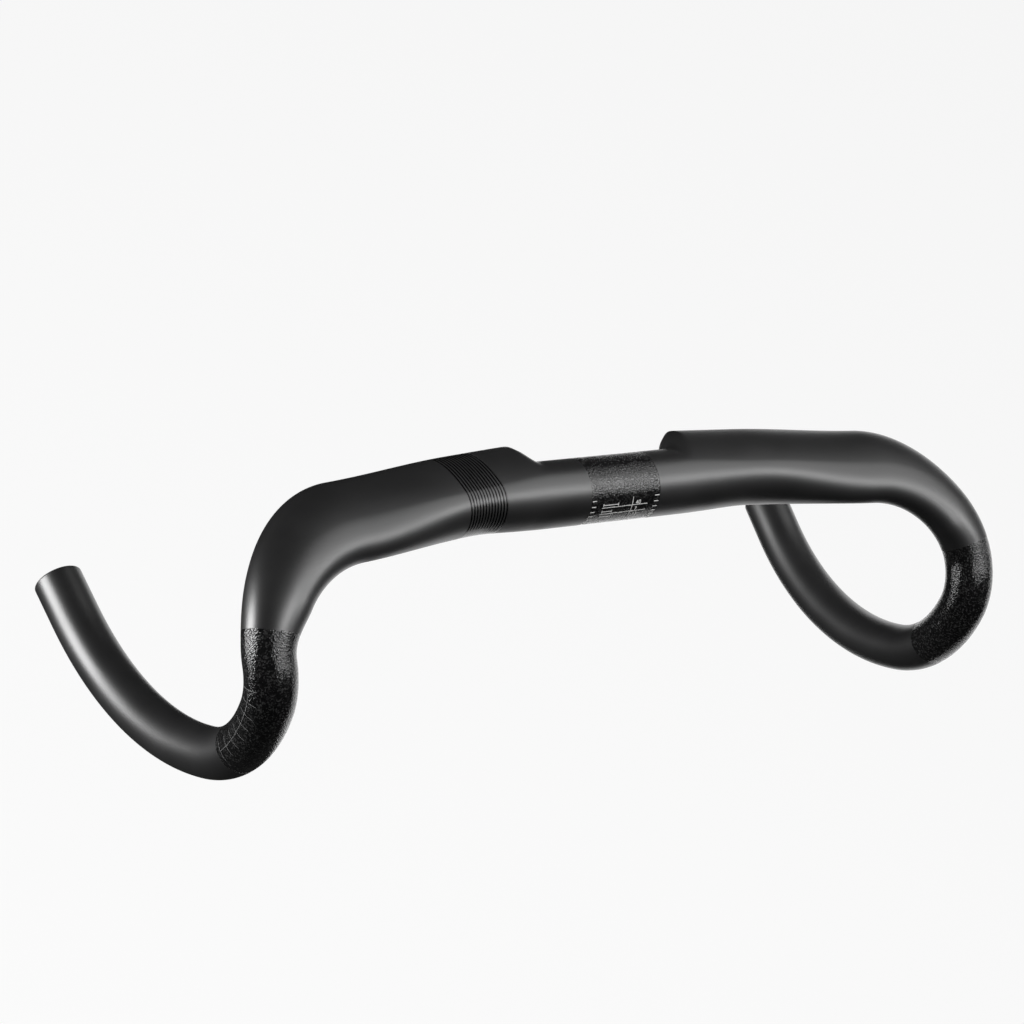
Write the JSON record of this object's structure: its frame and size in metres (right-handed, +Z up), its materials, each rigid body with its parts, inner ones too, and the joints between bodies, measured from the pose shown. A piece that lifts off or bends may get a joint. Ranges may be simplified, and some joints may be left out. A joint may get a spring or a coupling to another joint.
{
  "type": "bicycle handlebar",
  "caption": "Hollow drop handlebar moulded in one piece: round stem clamp, wing-shaped tops with a shoulder, and round flared drops with open ends.",
  "frame": {"origin": "middle of the stem clamp, on the clamp's axis", "axes": "+X along the clamp, -Y forward to the levers, +Z up, with the drop ends about level"},
  "size_m": [0.4538, 0.1705, 0.1631],
  "materials": {
    "bar": "satin black skin on fibre composite, with gritty gloss grip bands"
  },
  "bodies": {
    "root": {"handlebar": "bar"}
  },
  "joints": []
}
